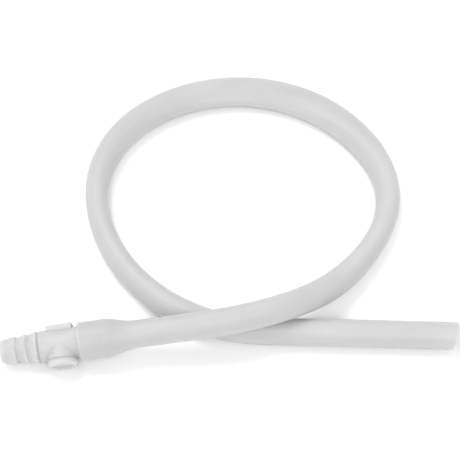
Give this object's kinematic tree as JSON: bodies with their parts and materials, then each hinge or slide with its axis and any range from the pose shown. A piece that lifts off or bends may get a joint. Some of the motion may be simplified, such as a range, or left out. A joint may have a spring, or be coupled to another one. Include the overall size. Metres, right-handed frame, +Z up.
{
  "type": "auto siphon",
  "caption": "Self-priming siphon: a translucent silicone hose laid in one loop, with a push-button valve and a barbed inlet nose that holds a ball check.",
  "frame": {"origin": "centre of the hose's open outlet end, on the hose's axis", "axes": "+X straight out of the hose's outlet; +Z up from the table, which lies at Z = -6.35 mm; +Y across the table towards the loop"},
  "size_m": [0.2104, 0.1669, 0.0262],
  "materials": {
    "silicone": "translucent, satin",
    "natural_plastic": "translucent natural plastic, satin",
    "white_plastic": "white, satin",
    "acetal": "white, smooth",
    "black_rubber": "grey food-grade rubber, matt",
    "polished_steel": "bright stainless steel"
  },
  "bodies": {
    "valve": {"hose": "silicone", "valve_body": "natural_plastic", "inlet_nose": "natural_plastic", "nose_o_ring": "black_rubber", "check_seat": "acetal", "ball_retainer": "acetal", "stem_gland": "acetal", "stem_o_ring": "black_rubber", "spring_cap": "natural_plastic", "cap_o_ring": "black_rubber", "return_spring": "polished_steel"},
    "plunger": {"button": "white_plastic", "valve_stem": "polished_steel", "poppet": "acetal", "poppet_seal": "black_rubber", "poppet_clip": "polished_steel"},
    "ball": {"check_ball": "polished_steel"}
  },
  "joints": [
    {"name": "button_press", "type": "slide", "parent": "valve", "child": "plunger", "axis": [0.1388, -0.9481, -0.286], "range_m": [0, 0.0016], "stiffness_N_per_m": 400, "springref_m": -0.001, "deforming": ["return_spring"]},
    {"name": "ball_lift", "type": "slide", "parent": "valve", "child": "ball", "axis": [0.9856, 0.1041, 0.1334], "range_m": [0, 0.003]}
  ]
}
